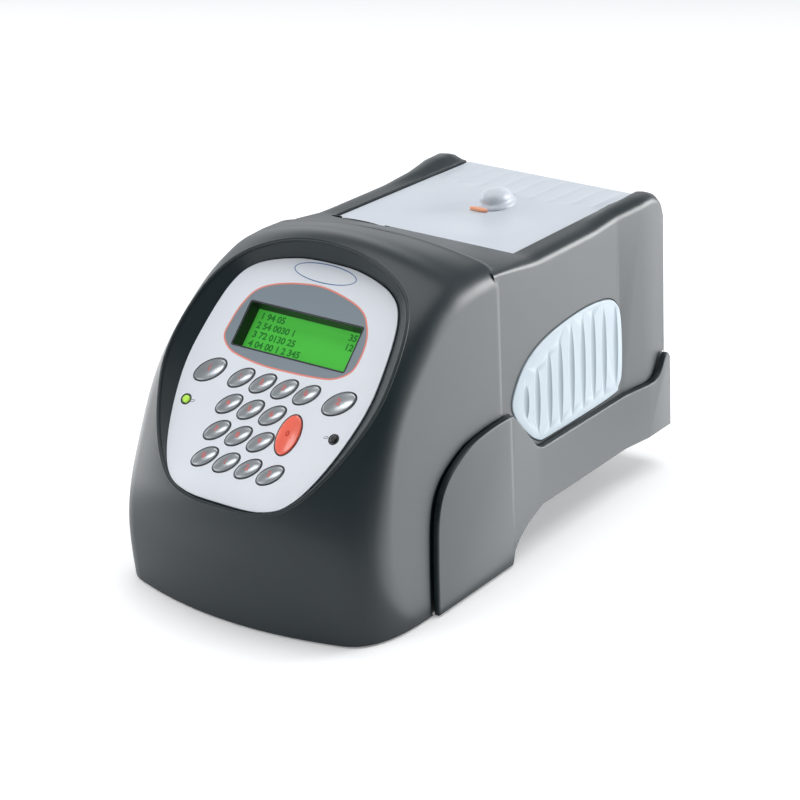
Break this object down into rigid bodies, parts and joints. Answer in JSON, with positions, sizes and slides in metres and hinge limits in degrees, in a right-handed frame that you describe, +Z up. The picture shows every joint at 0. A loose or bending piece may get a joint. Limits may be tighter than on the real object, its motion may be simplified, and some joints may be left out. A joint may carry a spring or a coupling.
{
  "type": "thermal cycler",
  "caption": "Bench-top thermal cycler: rounded hood with a sloped keypad and display, hinged heated lid over a well block, and a tray base with tall side cheeks.",
  "frame": {"origin": "on the table, under the middle of the case's bounding box", "axes": "+X to the right of the keypad, +Y to the rear, +Z up"},
  "size_m": [0.1924, 0.3573, 0.2002],
  "materials": {
    "case": "satin moulded ABS, fine spark texture",
    "panel": "powder coated steel sheet",
    "white_trim": "satin moulded ABS",
    "overlay": "printed polyester overlay",
    "window": "clear acrylic pane",
    "display": "backlit character display",
    "circuit_board": "solder-masked laminate",
    "led_green": "tinted lens",
    "led_dark": "dark lens",
    "key_grey": "metallic grey moulded key",
    "key_red": "red moulded key",
    "black_plastic": "moulded polyamide",
    "aluminium": "milled",
    "supply_case": "folded sheet",
    "ceramic": "white ceramic faces",
    "steel": "plated",
    "rubber": "moulded, matt"
  },
  "bodies": {
    "case": {"upper_cover": "case", "base_tray": "case", "rear_panel": "panel", "side_grip_left": "white_trim", "side_grip_right": "white_trim", "control_overlay": "overlay", "lcd_window": "window", "lcd_module": "display", "keypad_board": "circuit_board", "power_led": "led_green", "sensor_led": "led_dark", "hinge_pin_left": "steel", "hinge_pin_right": "steel", "latch_keeper": "steel", "sample_block": "aluminium", "peltier_module": "ceramic", "heat_sink": "aluminium", "fan_frame": "black_plastic", "power_supply": "supply_case", "control_board": "circuit_board", "mains_inlet": "black_plastic", "switch_housing": "black_plastic", "serial_port": "steel", "rear_screw_1": "steel", "rear_screw_2": "steel", "rear_screw_3": "steel", "rear_screw_4": "steel", "front_foot_left": "rubber", "front_foot_right": "rubber", "rear_foot_left": "rubber", "rear_foot_right": "rubber"},
    "lid": {"lid_cover": "white_trim", "lid_liner": "black_plastic", "plate_spring_left": "steel", "plate_spring_right": "steel", "latch_spring": "steel"},
    "heated_plate": {"heated_plate": "aluminium"},
    "latch": {"latch_slider": "white_trim", "latch_bolt": "steel"},
    "fan_rotor": {"fan_rotor": "black_plastic"},
    "switch_rocker": {"switch_rocker": "black_plastic"},
    "fuse_drawer": {"fuse_drawer": "black_plastic"},
    "key_row1_col1": {"key_row1_col1": "key_grey"},
    "key_row1_col2": {"key_row1_col2": "key_grey"},
    "key_row1_col3": {"key_row1_col3": "key_grey"},
    "key_row1_col4": {"key_row1_col4": "key_grey"},
    "key_row2_col1": {"key_row2_col1": "key_grey"},
    "key_row2_col2": {"key_row2_col2": "key_grey"},
    "key_row2_col3": {"key_row2_col3": "key_grey"},
    "key_row3_col1": {"key_row3_col1": "key_grey"},
    "key_row3_col2": {"key_row3_col2": "key_grey"},
    "key_row3_col3": {"key_row3_col3": "key_grey"},
    "key_row4_col1": {"key_row4_col1": "key_grey"},
    "key_row4_col2": {"key_row4_col2": "key_grey"},
    "key_row4_col3": {"key_row4_col3": "key_grey"},
    "key_row4_col4": {"key_row4_col4": "key_grey"},
    "key_left": {"key_left": "key_grey"},
    "key_right": {"key_right": "key_grey"},
    "key_enter": {"key_enter": "key_red"}
  },
  "joints": [
    {"name": "lid_hinge", "type": "hinge", "parent": "case", "child": "lid", "pos_m": [0, 0.164, 0.163], "axis": [-1, 0, 0], "range_deg": [0, 80]},
    {"name": "latch_slide", "type": "slide", "parent": "lid", "child": "latch", "axis": [0, 1, 0], "range_m": [0, 0.005], "stiffness_N_per_m": 400, "springref_m": -0.002, "deforming": ["latch_spring"]},
    {"name": "plate_float", "type": "slide", "parent": "lid", "child": "heated_plate", "axis": [0, 0, 1], "range_m": [0, 0.0025], "stiffness_N_per_m": 3000, "springref_m": -0.002, "deforming": ["plate_spring_left", "plate_spring_right"]},
    {"name": "fan_spin", "type": "hinge", "parent": "case", "child": "fan_rotor", "pos_m": [0.022, 0.161, 0.096], "axis": [0, 1, 0], "continuous": true},
    {"name": "switch_rock", "type": "hinge", "parent": "case", "child": "switch_rocker", "pos_m": [-0.048, 0.173, 0.1035], "axis": [-1, 0, 0], "range_deg": [0, 20]},
    {"name": "fuse_drawer_slide", "type": "slide", "parent": "case", "child": "fuse_drawer", "axis": [0, 1, 0], "range_m": [0, 0.014]},
    {"name": "key_row1_col1_press", "type": "slide", "parent": "case", "child": "key_row1_col1", "axis": [0, 0.7278, -0.6858], "range_m": [0, 0.0008], "stiffness_N_per_m": 500, "springref_m": -0.0006},
    {"name": "key_row1_col2_press", "type": "slide", "parent": "case", "child": "key_row1_col2", "axis": [0, 0.7278, -0.6858], "range_m": [0, 0.0008], "stiffness_N_per_m": 500, "springref_m": -0.0006},
    {"name": "key_row1_col3_press", "type": "slide", "parent": "case", "child": "key_row1_col3", "axis": [0, 0.7278, -0.6858], "range_m": [0, 0.0008], "stiffness_N_per_m": 500, "springref_m": -0.0006},
    {"name": "key_row1_col4_press", "type": "slide", "parent": "case", "child": "key_row1_col4", "axis": [0, 0.7278, -0.6858], "range_m": [0, 0.0008], "stiffness_N_per_m": 500, "springref_m": -0.0006},
    {"name": "key_row2_col1_press", "type": "slide", "parent": "case", "child": "key_row2_col1", "axis": [0, 0.7278, -0.6858], "range_m": [0, 0.0008], "stiffness_N_per_m": 500, "springref_m": -0.0006},
    {"name": "key_row2_col2_press", "type": "slide", "parent": "case", "child": "key_row2_col2", "axis": [0, 0.7278, -0.6858], "range_m": [0, 0.0008], "stiffness_N_per_m": 500, "springref_m": -0.0006},
    {"name": "key_row2_col3_press", "type": "slide", "parent": "case", "child": "key_row2_col3", "axis": [0, 0.7278, -0.6858], "range_m": [0, 0.0008], "stiffness_N_per_m": 500, "springref_m": -0.0006},
    {"name": "key_row3_col1_press", "type": "slide", "parent": "case", "child": "key_row3_col1", "axis": [0, 0.7278, -0.6858], "range_m": [0, 0.0008], "stiffness_N_per_m": 500, "springref_m": -0.0006},
    {"name": "key_row3_col2_press", "type": "slide", "parent": "case", "child": "key_row3_col2", "axis": [0, 0.7278, -0.6858], "range_m": [0, 0.0008], "stiffness_N_per_m": 500, "springref_m": -0.0006},
    {"name": "key_row3_col3_press", "type": "slide", "parent": "case", "child": "key_row3_col3", "axis": [0, 0.7278, -0.6858], "range_m": [0, 0.0008], "stiffness_N_per_m": 500, "springref_m": -0.0006},
    {"name": "key_row4_col1_press", "type": "slide", "parent": "case", "child": "key_row4_col1", "axis": [0, 0.7278, -0.6858], "range_m": [0, 0.0008], "stiffness_N_per_m": 500, "springref_m": -0.0006},
    {"name": "key_row4_col2_press", "type": "slide", "parent": "case", "child": "key_row4_col2", "axis": [0, 0.7278, -0.6858], "range_m": [0, 0.0008], "stiffness_N_per_m": 500, "springref_m": -0.0006},
    {"name": "key_row4_col3_press", "type": "slide", "parent": "case", "child": "key_row4_col3", "axis": [0, 0.7278, -0.6858], "range_m": [0, 0.0008], "stiffness_N_per_m": 500, "springref_m": -0.0006},
    {"name": "key_row4_col4_press", "type": "slide", "parent": "case", "child": "key_row4_col4", "axis": [0, 0.7278, -0.6858], "range_m": [0, 0.0008], "stiffness_N_per_m": 500, "springref_m": -0.0006},
    {"name": "key_left_press", "type": "slide", "parent": "case", "child": "key_left", "axis": [0, 0.7278, -0.6858], "range_m": [0, 0.0008], "stiffness_N_per_m": 500, "springref_m": -0.0006},
    {"name": "key_right_press", "type": "slide", "parent": "case", "child": "key_right", "axis": [0, 0.7278, -0.6858], "range_m": [0, 0.0008], "stiffness_N_per_m": 500, "springref_m": -0.0006},
    {"name": "key_enter_press", "type": "slide", "parent": "case", "child": "key_enter", "axis": [0, 0.7278, -0.6858], "range_m": [0, 0.0008], "stiffness_N_per_m": 500, "springref_m": -0.0006}
  ]
}
